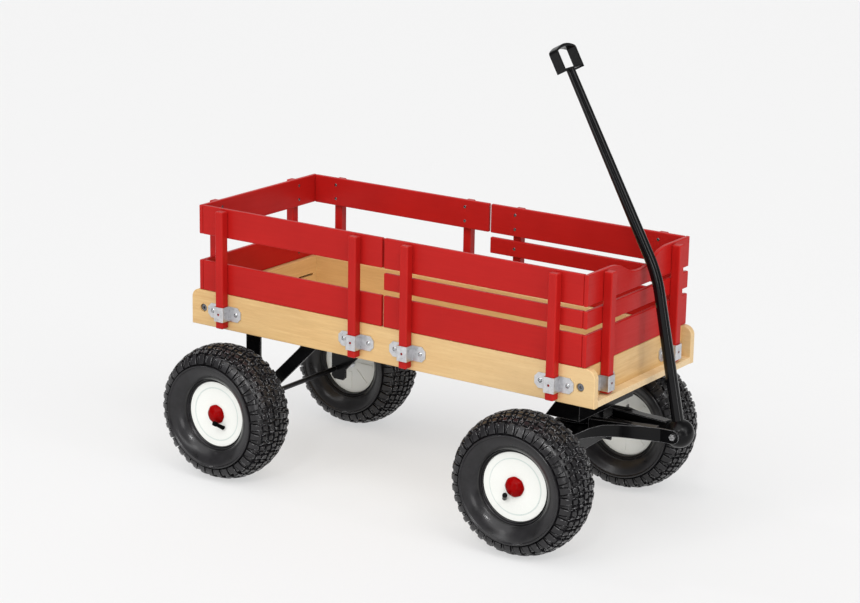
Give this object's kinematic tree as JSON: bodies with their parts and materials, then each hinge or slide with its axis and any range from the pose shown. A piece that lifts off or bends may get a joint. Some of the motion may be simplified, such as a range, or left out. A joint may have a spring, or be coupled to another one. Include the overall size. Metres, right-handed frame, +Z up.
{
  "type": "kids pull wagon",
  "caption": "Child's pull wagon: wooden bed with lift-out slatted panels, air-tyre wheels, steering front truck and a tilting pull handle.",
  "frame": {"origin": "on the ground under the middle of the whole wagon at rest: the middle of its bounding box in X and Y, and the ground in Z", "axes": "+X forward towards the steering end, +Y to the left, +Z up"},
  "size_m": [1.0326, 0.5498, 0.8902],
  "materials": {
    "birch_wood": "clear varnished light hardwood, satin",
    "birch_ply": "clear varnished ply, satin",
    "red_painted_wood": "red paint, semi-gloss",
    "zinc_steel": "zinc plated sheet, matte",
    "screw_steel": "zinc plated, bright",
    "dark_bolt_steel": "dark plated steel",
    "black_steel": "black powder coat, semi-gloss",
    "gloss_black_steel": "gloss black paint",
    "axle_steel": "black oxide steel",
    "tyre_rubber": "black rubber, slightly glossy",
    "valve_rubber": "black rubber, matte",
    "white_enamel": "white enamel, glossy",
    "red_cap_plastic": "red moulded plastic, glossy",
    "black_plastic": "black moulded plastic, satin"
  },
  "bodies": {
    "bed": {"side_board_left": "birch_wood", "side_board_right": "birch_wood", "end_board_front": "birch_wood", "end_board_rear": "birch_wood", "bed_floor": "birch_ply", "corner_bolts": "dark_bolt_steel", "stake_brackets": "zinc_steel", "bracket_screws": "screw_steel", "rear_bracket_left": "black_steel", "rear_bracket_right": "black_steel", "rear_axle": "axle_steel", "rear_axle_washers": "screw_steel", "steer_housing": "black_steel", "kingpin": "screw_steel"},
    "front_truck": {"steer_beam": "black_steel", "tongue_arm_left": "black_steel", "tongue_arm_right": "black_steel", "front_axle": "axle_steel", "front_axle_washers": "screw_steel", "pivot_bolt": "screw_steel"},
    "handle": {"handle_tube": "gloss_black_steel", "pivot_ball": "black_plastic", "grip": "black_plastic"},
    "rear_left_wheel": {"rear_left_tyre": "tyre_rubber", "rear_left_rim": "white_enamel", "rear_left_hub_cap": "red_cap_plastic", "rear_left_valve_stem": "valve_rubber"},
    "rear_right_wheel": {"rear_right_tyre": "tyre_rubber", "rear_right_rim": "white_enamel", "rear_right_hub_cap": "red_cap_plastic", "rear_right_valve_stem": "valve_rubber"},
    "front_left_wheel": {"front_left_tyre": "tyre_rubber", "front_left_rim": "white_enamel", "front_left_hub_cap": "red_cap_plastic", "front_left_valve_stem": "valve_rubber"},
    "front_right_wheel": {"front_right_tyre": "tyre_rubber", "front_right_rim": "white_enamel", "front_right_hub_cap": "red_cap_plastic", "front_right_valve_stem": "valve_rubber"},
    "front_left_panel": {"front_left_slat_bottom": "red_painted_wood", "front_left_slat_middle": "red_painted_wood", "front_left_slat_top": "red_painted_wood", "front_left_posts": "red_painted_wood"},
    "front_right_panel": {"front_right_slat_bottom": "red_painted_wood", "front_right_slat_middle": "red_painted_wood", "front_right_slat_top": "red_painted_wood", "front_right_posts": "red_painted_wood"},
    "front_end_panel": {"front_end_slat_bottom": "red_painted_wood", "front_end_slat_middle": "red_painted_wood", "front_end_slat_top": "red_painted_wood", "front_end_posts": "red_painted_wood"},
    "rear_left_panel": {"rear_left_slat_bottom": "red_painted_wood", "rear_left_slat_top": "red_painted_wood", "rear_left_posts": "red_painted_wood"},
    "rear_right_panel": {"rear_right_slat_bottom": "red_painted_wood", "rear_right_slat_top": "red_painted_wood", "rear_right_posts": "red_painted_wood"},
    "rear_end_panel": {"rear_end_slat_bottom": "red_painted_wood", "rear_end_slat_top": "red_painted_wood", "rear_end_posts": "red_painted_wood"}
  },
  "joints": [
    {"name": "steer", "type": "hinge", "parent": "bed", "child": "front_truck", "pos_m": [0.28669, 0, 0.197], "axis": [0, 0, 1], "range_deg": [-23.5, 16.5]},
    {"name": "handle_tilt", "type": "hinge", "parent": "front_truck", "child": "handle", "pos_m": [0.48932, 0.01229, 0.204], "axis": [-0.0605, 0.9982, 0], "range_deg": [0, 125]},
    {"name": "rear_left_wheel_spin", "type": "hinge", "parent": "bed", "child": "rear_left_wheel", "pos_m": [-0.38281, 0.2165, 0.1335], "axis": [0, 1, 0], "continuous": true},
    {"name": "rear_right_wheel_spin", "type": "hinge", "parent": "bed", "child": "rear_right_wheel", "pos_m": [-0.38281, -0.2165, 0.1335], "axis": [0, 1, 0], "continuous": true},
    {"name": "front_left_wheel_spin", "type": "hinge", "parent": "front_truck", "child": "front_left_wheel", "pos_m": [0.27359, 0.2161, 0.1335], "axis": [-0.0605, 0.9982, 0], "continuous": true},
    {"name": "front_right_wheel_spin", "type": "hinge", "parent": "front_truck", "child": "front_right_wheel", "pos_m": [0.29979, -0.2161, 0.1335], "axis": [-0.0605, 0.9982, 0], "continuous": true},
    {"name": "front_left_panel_lift", "type": "slide", "parent": "bed", "child": "front_left_panel", "axis": [0, 0, 1], "range_m": [0, 0.24]},
    {"name": "front_right_panel_lift", "type": "slide", "parent": "bed", "child": "front_right_panel", "axis": [0, 0, 1], "range_m": [0, 0.24]},
    {"name": "front_end_panel_lift", "type": "slide", "parent": "bed", "child": "front_end_panel", "axis": [0, 0, 1], "range_m": [0, 0.018]},
    {"name": "rear_left_panel_lift", "type": "slide", "parent": "bed", "child": "rear_left_panel", "axis": [0, 0, 1], "range_m": [0, 0.24]},
    {"name": "rear_right_panel_lift", "type": "slide", "parent": "bed", "child": "rear_right_panel", "axis": [0, 0, 1], "range_m": [0, 0.24]},
    {"name": "rear_end_panel_lift", "type": "slide", "parent": "bed", "child": "rear_end_panel", "axis": [0, 0, 1], "range_m": [0, 0.24]}
  ]
}
